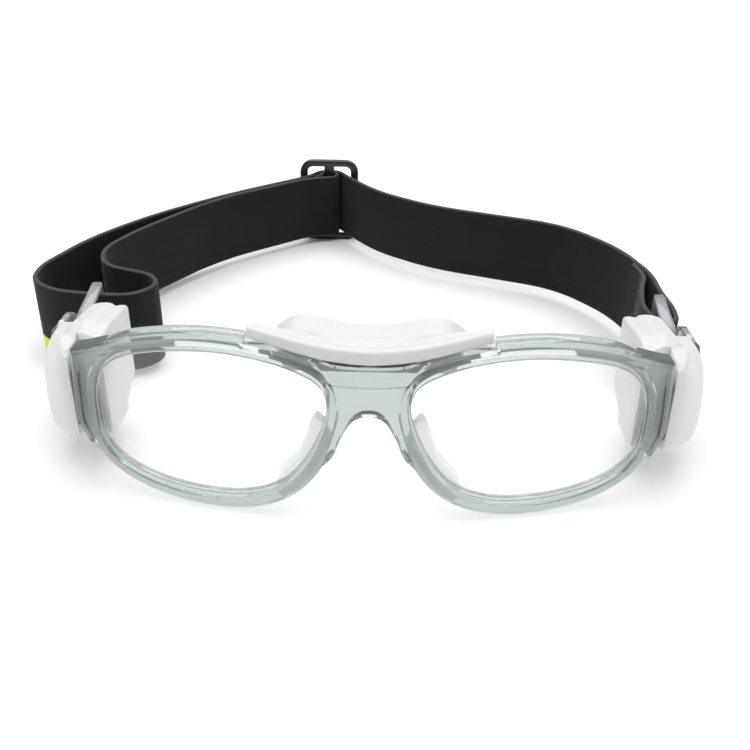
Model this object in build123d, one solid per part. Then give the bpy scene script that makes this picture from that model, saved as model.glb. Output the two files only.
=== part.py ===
from build123d import *
import math
import os

# Sports protective goggles, in millimetres.
# X is to the wearer's left, Y points back from the face of the front frame, and Z is up.
# X = 0 is the symmetry plane of the frame, Y = 0 its foremost point on the bridge,
# and Z = 0 the table it lies on.
# "left" and "right" are the wearer's, so the left side is at +X. Each side piece is drawn once, at +X.

# ---- Lenses and front frame ----
LENS_WIDTH = 55.7            # lens opening, nose side to temple side
LENS_HEIGHT = 39.5
BRIDGE_WIDTH = 18.6          # between the two lens openings
RIM_WIDTH = 4.1              # rim around the opening, seen from the front
RIM_DEPTH = 5.6              # rim, front to back
FACE_RADIUS = 200.0          # plan curve of the whole front
BRIDGE_TOP_DIP = 1.6         # how far the top edge sags from the rims to the middle
BRIDGE_HEIGHT = 12.8         # height of the bridge at its middle
LENS_THICKNESS = 2.0
LENS_SET_BACK = 1.9          # face of the frame to the face of the lens
GROOVE_DEPTH = 0.8           # how far the lens edge enters the rim
LENS_CLEARANCE = 0.1

# ---- End pieces and side arms, one moulding with the front ----
END_WIDTH = 2.3              # end piece beyond the rim
END_HEIGHT = 19.4            # bottom of the end piece's straight edge to its top corner
END_DEPTH = 8.6
END_LOW_Z = 18.6             # bottom of the straight outer edge
PLATE_RECESS = 0.5           # flat panel sunk in the end piece
PLATE_BORDER = 2.0
END_CHAMFER = 1.0            # round the front of the end piece
ARM_THICKNESS = 3.2
ARM_OUTER_X = 85.0           # outer face of the arm at its rear end
ARM_END_Y = 51.5
ARM_TOP_Z = 30.5
ARM_BOTTOM_Z = 11.5
ARM_END_RADIUS = 3.0
ARM_BEVEL = 2.5              # along its top outer edge

# ---- Buckle swivel ----
PIVOT_Y = 42.5
PIVOT_Z = 19.0
SHAFT_RADIUS = 1.25
RUNNING_GAP = 0.05
WASHER_THICKNESS = 0.5
WASHER_RADIUS = 4.0
STACK_GAP = 0.05
BUCKLE_THICKNESS = 3.2
SCREW_HEAD_RADIUS = 3.2
SCREW_HEAD_HEIGHT = 1.2
NUT_RADIUS = 3.6
NUT_HEIGHT = 1.5
DRIVE_WIDTH = 0.8
DRIVE_DEPTH = 0.5

# ---- Strap, buckles and slider ----
STRAP_WIDTH = 25.0
STRAP_THICKNESS = 1.5
STRAP_BOTTOM_Z = 2.8         # the strap's lower edge above the table
LOOP_RAIL_HEIGHT = 1.7       # top and bottom bars of the buckle loops
LOOP_CLEARANCE = 0.3         # strap edge to those bars
LOOP_FRONT_Y = 47.5
LOOP_BEND_Y = 50.0           # where the loop starts to lean outwards
LOOP_LEAN = 6.5              # degrees
LOOP_WINDOW_Y = 53.0
LOOP_BAR_Y = 70.0            # front of the vertical bar that the strap goes round
LOOP_BAR_DEPTH = 3.1
LOOP_CORNER = 2.5
LUG_RADIUS = 5.5
LUG_ROOM = 1.5               # free space in front of the turning lug
SLIDER_X = -22.25
SLIDER_Y = 187.2             # front face of the slider
SLIDER_LENGTH = 23.5
SLIDER_THICKNESS = 3.2
SLIDER_RAIL_HEIGHT = 2.4     # top and bottom bars of the slider
SLIDER_TOP_ROOM = 3.1        # free height of the slots above the strap
SLIDER_END_BAR = 3.0
SLIDER_MIDDLE_BAR = 4.0
SLIDER_CORNER = 5.0
BAR_EDGE_RADIUS = 0.8        # rounded edges where the strap turns round a bar
SEWN_GAP = 0.3               # between the layers of a sewn end
THREAD_RADIUS = 0.3
THREAD_PROUD = 0.25          # thread that shows on each side
LEFT_STITCHES = (2.0, 5.5)   # distances from the strap's sewn end at the left buckle
SLIDER_STITCHES = (-1.3,)    # distance from its sewn end at the slider
STITCH_PITCH = 2.1
LABEL_LENGTH = 6.6
LABEL_HEIGHT = 5.6
LABEL_THICKNESS = 0.35
LABEL_LIFT = 1.2             # strap edge to label

# ---- Silicone pads ----
PAD_GAP = 0.15               # silicone to the hard pieces it lies beside
BROW_HALF_WIDTH = 27.3
BROW_HEIGHT = 3.6
BROW_BAND_START = 0.4        # band, front and back, behind the curved front
BROW_BAND_DEPTH = 6.5
BROW_END_DROP = 0.2          # lower edge of the band under the top of the rims, at its ends
CUSHION_HALF_WIDTH = 22.0    # soft block behind the band
CUSHION_BOTTOM_Z = 38.0
CUSHION_BACK_DEPTH = 14.6
NOSE_PAD_DEPTH = 4.6
TEMPLE_PAD_INNER_X = 64.8
TEMPLE_PAD_FRONT_Y = 14.4
TEMPLE_PAD_END_Y = 44.0
TEMPLE_PAD_TOP_Z = 35.6      # inner block, at its rear end
TEMPLE_PAD_RISE = 3.0        # how much higher it is at its front
TEMPLE_PAD_BOTTOM_Z = 5.0
TEMPLE_PAD_SKIN = 1.5        # silicone over the outside of the arm
SKIN_END_Y = 37.5
SKIN_TOP_Z = 34.0
SKIN_BOTTOM_Z = 9.5
SKIN_CORNER = 6.0            # slanted top outer corner

# ---- Values worked out from those ----
OPENING_X = BRIDGE_WIDTH / 2
OPENING_Z = RIM_WIDTH
FRAME_TOP_Z = OPENING_Z + LENS_HEIGHT + RIM_WIDTH
FRAME_HALF_WIDTH = OPENING_X + LENS_WIDTH + RIM_WIDTH + END_WIDTH
STRAP_TOP_Z = STRAP_BOTTOM_Z + STRAP_WIDTH
LOOP_MIDDLE_Z = STRAP_BOTTOM_Z + STRAP_WIDTH / 2
LOOP_WINDOW_HEIGHT = STRAP_WIDTH + 2 * LOOP_CLEARANCE
LOOP_HEIGHT = LOOP_WINDOW_HEIGHT + 2 * LOOP_RAIL_HEIGHT
END_TOP_Z = END_LOW_Z + END_HEIGHT
ARM_INNER_X = ARM_OUTER_X - ARM_THICKNESS
ARM_STRAIGHT_Y = PIVOT_Y - LUG_RADIUS - LUG_ROOM
WASHER_X = ARM_INNER_X - STACK_GAP - WASHER_THICKNESS
BUCKLE_X = WASHER_X - STACK_GAP - BUCKLE_THICKNESS
NUT_X = BUCKLE_X - STACK_GAP - NUT_HEIGHT
BRIDGE_TOP_Z = FRAME_TOP_Z - RIM_WIDTH - BRIDGE_TOP_DIP + 0.3
BRIDGE_BOTTOM_Z = BRIDGE_TOP_Z - BRIDGE_HEIGHT
FAR = 60.0                   # longer than anything that it cuts
OUTLINE_STEPS = 36           # points on an outline that follows the lens opening

# The lens opening as shares of its width, from the nose, and of its height, from the bottom.
OPENING_SHAPE = [
    (0.002, 0.69), (0.023, 0.82), (0.104, 0.905), (0.26, 0.975), (0.443, 1.0), (0.73, 0.945),
    (0.915, 0.825), (0.985, 0.66), (1.0, 0.458), (0.965, 0.20), (0.865, 0.09), (0.71, 0.023),
    (0.497, 0.0), (0.30, 0.046), (0.165, 0.167), (0.081, 0.339), (0.027, 0.516),
]

# The strap's middle line in plan, from its sewn end at the left buckle, round the back of the head,
# through the slider, round the right buckle and back to its other sewn end on the slider's middle bar.
LEFT_STRAND = [
    (81.3, 99.5), (82.8, 91.0), (77.6, 81.0), (76.6, 68.0), (78.6, 58.8), (84.4, 58.6), (85.5, 67.5),
    (84.6, 78.0), (85.1, 92.0), (79.5, 113.0), (64.0, 134.5), (19.0, 151.5), (-2.0, 167.5),
]
SLIDER_WEAVE = [(-14.3, 185.6), (-18.8, 193.7), (-25.9, 193.7), (-30.0, 186.0)]
OUTER_STRAND = [
    (-59.8, 160.3), (-82.0, 135.5), (-97.0, 112.0), (-104.9, 88.0), (-103.8, 77.2), (-95.3, 70.0),
    (-82.0, 67.8), (-71.0, 67.8), (-65.4, 75.4),
]
INNER_STRAND = [
    (-69.0, 83.0), (-86.2, 89.8), (-89.9, 103.0), (-84.0, 119.0), (-67.5, 147.0), (-57.2, 159.5),
    (-30.5, 182.6), (-19.1, 185.9), (-19.1, 191.7), (-25.3, 191.7), (-25.5, 187.4), (-28.0, 185.4),
]
STRAP_POINTS = LEFT_STRAND + SLIDER_WEAVE + OUTER_STRAND + INNER_STRAND


def mirrored(shape):
    return mirror(shape, about=Plane.YZ)


def front_face(*edges):
    """A face in the XZ plane from edges drawn with (x, z) points."""
    return Plane.XZ * make_face(edges)


def behind_front(face, start, end):
    """What the face sweeps, front to back, between two depths behind the curved front."""
    block = extrude(face, amount=-FAR)
    outer = Cylinder(FACE_RADIUS - start, 2 * FAR)
    inner = Cylinder(FACE_RADIUS - end, 3 * FAR)
    return block & (Pos(0, FACE_RADIUS, 0) * (outer - inner))


def opening_face(grow):
    """The lens opening, grown outwards all round by so much, as a face in the XZ plane."""
    points = [(OPENING_X + LENS_WIDTH * u, OPENING_Z + LENS_HEIGHT * v) for u, v in OPENING_SHAPE]
    edge = Spline(*points, periodic=True)
    if grow:
        # The points run clockwise, so the outside is to the left of the way along them.
        steps = [i / OUTLINE_STEPS for i in range(OUTLINE_STEPS)]
        edge = Spline(*[edge @ t + (edge % t).rotate(Axis.Z, 90) * grow for t in steps], periodic=True)
    return front_face(edge)


def bridge_face():
    half = OPENING_X + 0.10 * LENS_WIDTH
    foot = OPENING_X - RIM_WIDTH
    side_z = OPENING_Z + 0.87 * LENS_HEIGHT
    top = Spline((-half, BRIDGE_TOP_Z + 1.9), (0, BRIDGE_TOP_Z), (half, BRIDGE_TOP_Z + 1.9))
    arch = Spline(
        (-foot - 2.6, BRIDGE_BOTTOM_Z - 7.0), (-foot + 0.6, BRIDGE_BOTTOM_Z - 1.7), (0, BRIDGE_BOTTOM_Z),
        (foot - 0.6, BRIDGE_BOTTOM_Z - 1.7), (foot + 2.6, BRIDGE_BOTTOM_Z - 7.0),
    )
    right = Polyline(arch @ 1, (OPENING_X - 0.5, side_z - 9), (OPENING_X + 0.5, side_z), top @ 1)
    left = Polyline(arch @ 0, (-OPENING_X + 0.5, side_z - 9), (-OPENING_X - 0.5, side_z), top @ 0)
    return front_face(top, arch, right, left)


def end_face(inset):
    """The end piece from the front, its outer edges moved in by inset."""
    edge = FRAME_HALF_WIDTH - inset
    inner = FRAME_HALF_WIDTH - END_WIDTH - RIM_WIDTH - 3.0
    outline = Polyline(
        (inner, END_TOP_Z + 4.2 - inset), (edge - 1.0, END_TOP_Z - inset), (edge, END_LOW_Z + 5.4),
        (edge, END_LOW_Z), (edge - 2.1, END_LOW_Z - 5.4), (inner, END_LOW_Z - 11.0 + inset), close=True,
    )
    return front_face(outline)


def end_piece():
    block = behind_front(end_face(0), 0, END_DEPTH)
    front = block.faces().sort_by(Axis.Y)[0]
    return chamfer(front.edges().sort_by(Axis.X)[1:], END_CHAMFER)


def arm(gap=0.0):
    """The side arm, grown by a gap: it flares out behind the end piece, then runs straight back."""
    outer_x, inner_x = ARM_OUTER_X + gap, ARM_INNER_X - gap
    end_y = ARM_END_Y + gap
    outer_start = (FRAME_HALF_WIDTH + gap, END_DEPTH + 5.0)
    inner_start = (FRAME_HALF_WIDTH - 4.6 - gap, END_DEPTH + 6.5)
    outer = Spline(
        outer_start, (outer_x - 5.6, 24.0), (outer_x, ARM_STRAIGHT_Y), tangents=[(0.4, 1), (0, 1)],
    )
    inner = Spline(
        inner_start, (inner_x - 6.0, 25.0), (inner_x, ARM_STRAIGHT_Y), tangents=[(0.4, 1), (0, 1)],
    )
    tip = Polyline(outer @ 1, (outer_x, end_y), (inner_x, end_y), inner @ 1)
    plan = make_face([outer, inner, tip, Line(outer_start, inner_start)])
    root_top = END_TOP_Z - 3.0 + gap
    root_bottom = END_LOW_Z - 4.5 - gap
    top, bottom = ARM_TOP_Z + gap, ARM_BOTTOM_Z - gap
    side = make_face(Polyline(
        (END_DEPTH, root_bottom), (END_DEPTH, root_top), (END_DEPTH + 12, root_top), (ARM_STRAIGHT_Y, top),
        (end_y, top), (end_y, bottom), (ARM_STRAIGHT_Y - 8, bottom),
        (END_DEPTH + 10, root_bottom), close=True,
    ))
    rear = [v for v in side.vertices() if v.X > ARM_END_Y - 1]
    side = fillet(rear, ARM_END_RADIUS)
    bar = extrude(plan, amount=FAR) & extrude(Plane.YZ * side, amount=2 * FAR)
    bevel = front_face(Polyline(
        (outer_x - ARM_BEVEL, top), (outer_x, top - ARM_BEVEL), (outer_x + 1, top - ARM_BEVEL),
        (outer_x + 1, FAR), (outer_x - ARM_BEVEL, FAR), close=True,
    ))
    return bar - extrude(bevel, amount=-FAR)


def front_frame():
    rim = behind_front(opening_face(RIM_WIDTH), 0, RIM_DEPTH)
    plate = behind_front(end_face(PLATE_BORDER), 0, PLATE_RECESS) - behind_front(
        opening_face(RIM_WIDTH - 0.6), -1, PLATE_RECESS + 1
    )
    opening = extrude(opening_face(0), amount=-FAR)
    groove = behind_front(
        opening_face(GROOVE_DEPTH), LENS_SET_BACK - LENS_CLEARANCE,
        LENS_SET_BACK + LENS_THICKNESS + LENS_CLEARANCE,
    )
    half = rim + end_piece() + arm() - plate - opening - groove
    half = half - pivot_cylinder(SHAFT_RADIUS + RUNNING_GAP, 0, 2 * FAR)
    bridge = behind_front(bridge_face(), 0, RIM_DEPTH)
    whole = half + mirrored(half) + bridge
    return whole - opening - mirrored(opening) - groove - mirrored(groove)


def lens():
    face = opening_face(GROOVE_DEPTH - LENS_CLEARANCE)
    return behind_front(face, LENS_SET_BACK, LENS_SET_BACK + LENS_THICKNESS)


def pivot_cylinder(radius, start_x, end_x):
    rod = Cylinder(radius, end_x - start_x, align=(Align.CENTER, Align.CENTER, Align.MIN))
    return Pos(start_x, PIVOT_Y, PIVOT_Z) * Rot(0, 90, 0) * rod


def pivot_washer():
    ring = pivot_cylinder(WASHER_RADIUS, WASHER_X, WASHER_X + WASHER_THICKNESS)
    return ring - pivot_cylinder(SHAFT_RADIUS + RUNNING_GAP, 0, 2 * FAR)


def pivot_screw():
    head_x = ARM_OUTER_X + STACK_GAP
    head = pivot_cylinder(SCREW_HEAD_RADIUS, head_x, head_x + SCREW_HEAD_HEIGHT)
    head = fillet(head.edges().filter_by(GeomType.CIRCLE).sort_by(Axis.X)[-1], SCREW_HEAD_HEIGHT * 0.6)
    shaft = pivot_cylinder(SHAFT_RADIUS, NUT_X + 0.3, head_x)
    slot = Box(2 * DRIVE_DEPTH, 2 * SCREW_HEAD_RADIUS, DRIVE_WIDTH)
    return head + shaft - Pos(head_x + SCREW_HEAD_HEIGHT, PIVOT_Y, PIVOT_Z) * slot


def pivot_nut():
    nut = pivot_cylinder(NUT_RADIUS, NUT_X, NUT_X + NUT_HEIGHT)
    return nut - pivot_cylinder(SHAFT_RADIUS + RUNNING_GAP, NUT_X + 0.3 - STACK_GAP, NUT_X + 2 * NUT_HEIGHT)


def strap_buckle():
    """Rectangular loop, leaning outwards, with a lug that turns on the pivot screw."""
    bar_end = LOOP_BAR_Y + LOOP_BAR_DEPTH
    loop = Pos((LOOP_FRONT_Y + bar_end) / 2, LOOP_MIDDLE_Z) * RectangleRounded(
        bar_end - LOOP_FRONT_Y, LOOP_HEIGHT, LOOP_CORNER
    )
    window = Pos((LOOP_WINDOW_Y + LOOP_BAR_Y) / 2, LOOP_MIDDLE_Z) * Rectangle(
        LOOP_BAR_Y - LOOP_WINDOW_Y, LOOP_WINDOW_HEIGHT
    )
    lug = make_hull(
        (Pos(PIVOT_Y, PIVOT_Z) * Circle(LUG_RADIUS)).edges()
        + (Pos(LOOP_BEND_Y, LOOP_MIDDLE_Z) * Rectangle(4, LOOP_HEIGHT - 2 * LOOP_CORNER)).edges()
    )
    lean = Pos(BUCKLE_X, LOOP_BEND_Y, 0) * Rot(0, 0, -LOOP_LEAN) * Pos(0, -LOOP_BEND_Y, 0)
    ring = lean * extrude(Plane.YZ * (loop - window), amount=BUCKLE_THICKNESS)
    body = ring + Pos(BUCKLE_X, 0, 0) * extrude(Plane.YZ * lug, amount=BUCKLE_THICKNESS)
    return body - pivot_cylinder(SHAFT_RADIUS + RUNNING_GAP, 0, 2 * FAR)


def corner_turn(before, at, after):
    """The signed turn, in radians, of a path at one of its points."""
    first = math.atan2(at[1] - before[1], at[0] - before[0])
    second = math.atan2(after[1] - at[1], after[0] - at[0])
    return (second - first + math.pi) % (2 * math.pi) - math.pi


def corner_radius(before, at, after):
    """The largest arc that two runs allow, with a little of each left straight."""
    run = min(math.dist(before, at), math.dist(at, after))
    return 0.45 * run / math.tan(abs(corner_turn(before, at, after)) / 2)


def side_line(points, shift):
    """The path moved sideways by shift, to its left if positive, its corners arcs about the same centres."""
    moved, radii = [], []
    for i, at in enumerate(points):
        before = points[max(i - 1, 0)]
        after = points[min(i + 1, len(points) - 1)]
        heading = math.atan2(after[1] - before[1], after[0] - before[0])
        stretch = 1.0
        if before != at and after != at:
            turn = corner_turn(before, at, after)
            heading = math.atan2(at[1] - before[1], at[0] - before[0]) + turn / 2
            stretch = 1 / math.cos(turn / 2)
            radii.append(corner_radius(before, at, after) - math.copysign(shift, shift * turn))
        reach = shift * stretch
        moved.append((at[0] - reach * math.sin(heading), at[1] + reach * math.cos(heading)))
    return FilletPolyline(*moved, radius=radii)


def ribbon(points, left_shift, right_shift, height):
    """A strip that stands on edge along the path, between two lines beside it."""
    left = side_line(points, left_shift)
    right = side_line(points, right_shift)
    outline = make_face([left, right, Line(left @ 0, right @ 0), Line(left @ 1, right @ 1)])
    return extrude(outline, amount=height)


def head_strap():
    half = STRAP_THICKNESS / 2
    return Pos(0, 0, STRAP_BOTTOM_Z) * ribbon(STRAP_POINTS, half, -half, STRAP_WIDTH)


def strap_slider():
    height = STRAP_TOP_Z + SLIDER_TOP_ROOM + SLIDER_RAIL_HEIGHT
    slot = (SLIDER_LENGTH - 2 * SLIDER_END_BAR - SLIDER_MIDDLE_BAR) / 2
    slot_x = (SLIDER_MIDDLE_BAR + slot) / 2
    slot_height = height - 2 * SLIDER_RAIL_HEIGHT
    ring = RectangleRounded(SLIDER_LENGTH, height, SLIDER_CORNER)
    for side in (-1, 1):
        ring -= Pos(side * slot_x, 0) * Rectangle(slot, slot_height)
    body = extrude(Plane.XZ * ring, amount=-SLIDER_THICKNESS)
    uprights = [
        e for e in body.edges().filter_by(Axis.Z) if abs(e.center().X) < SLIDER_LENGTH / 2 - 0.1
    ]
    return Pos(SLIDER_X, SLIDER_Y, height / 2) * fillet(uprights, BAR_EDGE_RADIUS)


def stitches(distances):
    """Threads through the sewn end and the strand beside it, at distances along the strap's path."""
    path = side_line(STRAP_POINTS, 0)
    length = 2 * STRAP_THICKNESS + SEWN_GAP + 2 * THREAD_PROUD
    count = int(STRAP_WIDTH / STITCH_PITCH)
    first = (STRAP_WIDTH - (count - 1) * STITCH_PITCH) / 2
    threads = []
    for distance in distances:
        share = distance / path.length % 1
        at, along = path @ share, path % share
        heading = math.degrees(math.atan2(along.Y, along.X))
        reach = length / 2 - STRAP_THICKNESS / 2 - THREAD_PROUD
        for i in range(count):
            place = Pos(at.X, at.Y, STRAP_BOTTOM_Z + first + i * STITCH_PITCH) * Rot(0, 0, heading)
            threads.append(place * Pos(0, reach, 0) * Rot(90, 0, 0) * Cylinder(THREAD_RADIUS, length))
    return Compound(children=threads)


def woven_label():
    around = OUTER_STRAND[2:7]
    face = -STRAP_THICKNESS / 2
    strip = ribbon(around, face, face - LABEL_THICKNESS, LABEL_HEIGHT)
    start, end = OUTER_STRAND[4], OUTER_STRAND[5]
    window = Pos((start[0] + end[0]) / 2, (start[1] + end[1]) / 2, 0) * Box(
        LABEL_LENGTH, LABEL_LENGTH, 3 * LABEL_HEIGHT
    )
    return Pos(0, 0, STRAP_BOTTOM_Z + LABEL_LIFT) * (strip & window)


def brow_pad():
    """A band along the top of the rims and the bridge, with a softer block behind it."""
    half = BROW_HALF_WIDTH
    end_z = FRAME_TOP_Z - BROW_END_DROP
    base = Spline(
        (-half, end_z), (-half * 0.55, BRIDGE_TOP_Z + 2.6), (0, BRIDGE_TOP_Z + PAD_GAP),
        (half * 0.55, BRIDGE_TOP_Z + 2.6), (half, end_z),
    )
    crest = Pos(0, BROW_HEIGHT) * base
    band = front_face(base, crest, Line(base @ 0, crest @ 0), Line(base @ 1, crest @ 1))
    wide = CUSHION_HALF_WIDTH
    top = Spline(
        (-wide, BRIDGE_TOP_Z + 2.2), (-wide * 0.8, BRIDGE_TOP_Z + 5.5), (0, BRIDGE_TOP_Z + 3.5),
        (wide * 0.8, BRIDGE_TOP_Z + 5.5), (wide, BRIDGE_TOP_Z + 2.2),
    )
    rest = Polyline(top @ 0, (-wide + 2, CUSHION_BOTTOM_Z), (wide - 2, CUSHION_BOTTOM_Z), top @ 1)
    cushion = behind_front(front_face(top, rest), RIM_DEPTH + PAD_GAP, CUSHION_BACK_DEPTH)
    return behind_front(band, BROW_BAND_START, BROW_BAND_DEPTH) + cushion


def nose_pad():
    outline = Spline(
        (OPENING_X + 0.4, OPENING_Z + 19), (OPENING_X + 3.4, OPENING_Z + 9.0),
        (OPENING_X + 7.4, OPENING_Z + 2.8), (OPENING_X + 12.2, OPENING_Z + 0.6),
        (OPENING_X + 12.8, OPENING_Z + 2.6), (OPENING_X + 8.8, OPENING_Z + 9.4),
        (OPENING_X + 5.4, OPENING_Z + 16.4), (OPENING_X + 2.6, OPENING_Z + 22), periodic=True,
    )
    return behind_front(front_face(outline), RIM_DEPTH + PAD_GAP, RIM_DEPTH + PAD_GAP + NOSE_PAD_DEPTH)


def temple_pad_block():
    """The thick inner part of the pad, beside the head."""
    side = make_face(Polyline(
        (TEMPLE_PAD_FRONT_Y, SKIN_BOTTOM_Z), (TEMPLE_PAD_FRONT_Y + 8, TEMPLE_PAD_BOTTOM_Z),
        (TEMPLE_PAD_END_Y, TEMPLE_PAD_BOTTOM_Z), (TEMPLE_PAD_END_Y, TEMPLE_PAD_TOP_Z),
        (TEMPLE_PAD_FRONT_Y + 6, TEMPLE_PAD_TOP_Z + TEMPLE_PAD_RISE),
        (TEMPLE_PAD_FRONT_Y, TEMPLE_PAD_TOP_Z + TEMPLE_PAD_RISE), close=True,
    ))
    block = extrude(Plane.YZ * side, amount=NUT_X - 1.0 - TEMPLE_PAD_INNER_X)
    return Pos(TEMPLE_PAD_INNER_X, 0, 0) * block


def temple_pad_skin():
    """The part of the pad that is drawn over the arm."""
    skin_x = ARM_OUTER_X + TEMPLE_PAD_SKIN
    outer = Spline(
        (FRAME_HALF_WIDTH + TEMPLE_PAD_SKIN, TEMPLE_PAD_FRONT_Y), (skin_x - 5.3, 24.0),
        (skin_x, SKIN_END_Y),
        tangents=[(0.4, 1), (0, 1)],
    )
    rest = Polyline(
        outer @ 1, (ARM_INNER_X + 0.5, SKIN_END_Y), (ARM_INNER_X + 0.5, ARM_STRAIGHT_Y),
        (TEMPLE_PAD_INNER_X, ARM_STRAIGHT_Y), (TEMPLE_PAD_INNER_X, TEMPLE_PAD_FRONT_Y), outer @ 0,
    )
    plan = extrude(make_face([outer, rest]), amount=FAR)
    side = make_face(Polyline(
        (TEMPLE_PAD_FRONT_Y, SKIN_BOTTOM_Z + 1), (SKIN_END_Y, SKIN_BOTTOM_Z), (SKIN_END_Y, SKIN_TOP_Z),
        (TEMPLE_PAD_FRONT_Y + 6, SKIN_TOP_Z + TEMPLE_PAD_RISE),
        (TEMPLE_PAD_FRONT_Y, SKIN_TOP_Z + TEMPLE_PAD_RISE), close=True,
    ))
    corner = front_face(Polyline(
        (skin_x - SKIN_CORNER, SKIN_TOP_Z), (skin_x, SKIN_TOP_Z - SKIN_CORNER),
        (skin_x + 1, SKIN_TOP_Z - SKIN_CORNER), (skin_x + 1, FAR), (skin_x - SKIN_CORNER, FAR), close=True,
    ))
    return (plan & extrude(Plane.YZ * side, amount=2 * FAR)) - extrude(corner, amount=-FAR)


def temple_pad():
    edge = FRAME_HALF_WIDTH + PAD_GAP
    seat = Plane.XZ * Pos(edge - 10, FRAME_TOP_Z / 2) * Rectangle(20, 2 * FRAME_TOP_Z)
    whole = temple_pad_block() + temple_pad_skin()
    return whole - arm(PAD_GAP) - behind_front(seat, -5, END_DEPTH + PAD_GAP)


def main():
    os.makedirs("parts", exist_ok=True)
    export_step(front_frame(), "parts/front_frame.step")
    export_step(brow_pad(), "parts/brow_pad.step")
    paired = {
        "lens": lens, "nose_pad": nose_pad, "temple_pad": temple_pad, "strap_buckle": strap_buckle,
        "pivot_washer": pivot_washer, "pivot_screw": pivot_screw, "pivot_nut": pivot_nut,
    }
    for name, make in paired.items():
        left = make()
        export_step(left, f"parts/{name}_left.step")
        export_step(mirrored(left), f"parts/{name}_right.step")
    export_step(head_strap(), "parts/head_strap.step")
    export_step(strap_slider(), "parts/strap_slider.step")
    export_step(woven_label(), "parts/woven_label.step")
    export_step(stitches(LEFT_STITCHES), "parts/left_end_stitches.step")
    export_step(stitches(SLIDER_STITCHES), "parts/slider_end_stitches.step")


main()
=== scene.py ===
import math

import bmesh
import bpy
import numpy as np
from mathutils import Matrix, Vector
from mathutils.geometry import tessellate_polygon


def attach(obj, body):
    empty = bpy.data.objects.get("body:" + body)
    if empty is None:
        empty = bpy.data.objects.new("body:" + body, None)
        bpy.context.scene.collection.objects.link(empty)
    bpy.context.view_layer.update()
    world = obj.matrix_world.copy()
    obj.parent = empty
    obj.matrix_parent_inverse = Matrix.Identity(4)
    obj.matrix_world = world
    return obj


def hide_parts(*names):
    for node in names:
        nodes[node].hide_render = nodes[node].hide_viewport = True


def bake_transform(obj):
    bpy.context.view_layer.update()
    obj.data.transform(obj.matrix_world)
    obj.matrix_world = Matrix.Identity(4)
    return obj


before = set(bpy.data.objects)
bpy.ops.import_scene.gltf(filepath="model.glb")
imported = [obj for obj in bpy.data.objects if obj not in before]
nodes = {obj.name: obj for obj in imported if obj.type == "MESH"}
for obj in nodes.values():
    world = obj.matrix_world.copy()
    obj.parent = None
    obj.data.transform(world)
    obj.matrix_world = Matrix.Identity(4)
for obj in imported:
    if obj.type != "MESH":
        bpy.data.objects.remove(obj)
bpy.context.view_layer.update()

MM = 0.001

# ---- Camera ----
CAMERA_PLACE = Vector((4.84, -169.79, 136.96)) * MM
CAMERA_AIM = Vector((-0.0179, 0.8702, -0.4923))
CAMERA_ROLL = math.radians(0.8)
CAMERA_LENS = 43.2           # on a 36 mm sensor

# ---- Sizes, in millimetres ----
LENS_WIDTH, LENS_HEIGHT = 55.7, 39.5
OPENING_X, OPENING_Z = 9.3, 4.1
RIM_WIDTH, RIM_DEPTH = 4.1, 5.6
FACE_RADIUS = 200.0
GROOVE_DEPTH, GROOVE_NEAR, GROOVE_FAR = 0.8, 1.8, 4.0
END_HALF_WIDTH, END_DEPTH = 71.4, 8.6
ARM_START_Y, ARM_END_Y, ARM_END_RADIUS = 14.0, 51.5, 3.0
BRIDGE_TOP_Z, BRIDGE_BOTTOM_Z, BRIDGE_REACH = 42.1, 29.3, 13.4
PIVOT_Y, PIVOT_Z, PIVOT_HOLE_RADIUS = 42.5, 19.0, 1.3
PAD_GAP = 0.15
BROW_HALF_WIDTH = 27.0
TEMPLE_INNER_X, TEMPLE_FRONT_Y, TEMPLE_END_Y, SKIN_END_Y = 64.8, 14.4, 44.0, 37.5
BUCKLE_X, BUCKLE_THICKNESS, BUCKLE_LEAN = 78.0, 3.2, 6.5
SLIDER_X, SLIDER_LENGTH, SLIDER_HEIGHT = -22.25, 23.5, 33.3
SLIDER_NEAR_Y, SLIDER_FAR_Y = 187.2, 190.4
STRAP_LOW_Z, STRAP_WIDTH, STRAP_THICKNESS = 2.8, 25.0, 1.5
# The lens opening as shares of its width, from the nose, and of its height, from the bottom.
OPENING_SHAPE = [
    (0.002, 0.69), (0.023, 0.82), (0.104, 0.905), (0.26, 0.975), (0.443, 1.0), (0.73, 0.945),
    (0.915, 0.825), (0.985, 0.66), (1.0, 0.458), (0.965, 0.20), (0.865, 0.09), (0.71, 0.023),
    (0.497, 0.0), (0.30, 0.046), (0.165, 0.167), (0.081, 0.339), (0.027, 0.516),
]


def make_camera():
    data = bpy.data.cameras.new("camera")
    data.sensor_width = 36.0
    data.lens = CAMERA_LENS
    data.clip_start = 0.01
    camera = bpy.data.objects.new("camera", data)
    bpy.context.scene.collection.objects.link(camera)
    camera.location = CAMERA_PLACE
    camera.rotation_mode = "QUATERNION"
    level = CAMERA_AIM.to_track_quat("-Z", "Y")
    camera.rotation_quaternion = level @ Matrix.Rotation(CAMERA_ROLL, 3, "Z").to_quaternion()
    bpy.context.scene.camera = camera


make_camera()


# ---- Materials ----
def node_material(name):
    material = bpy.data.materials.new(name)
    material.use_nodes = True
    return material, material.node_tree, material.node_tree.nodes["Principled BSDF"]


def set_values(shader, **values):
    for name, value in values.items():
        shader.inputs[name.replace("_", " ")].default_value = value


def node(tree, kind, *values, **settings):
    """A new node, its settings, and its inputs in order: a number, a colour or another node's output."""
    made = tree.nodes.new(kind)
    for key, value in settings.items():
        setattr(made, key, value)
    for socket, value in zip(made.inputs, values):
        if isinstance(value, bpy.types.NodeSocket):
            tree.links.new(value, socket)
        elif value is not None:
            socket.default_value = value
    return made


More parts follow.
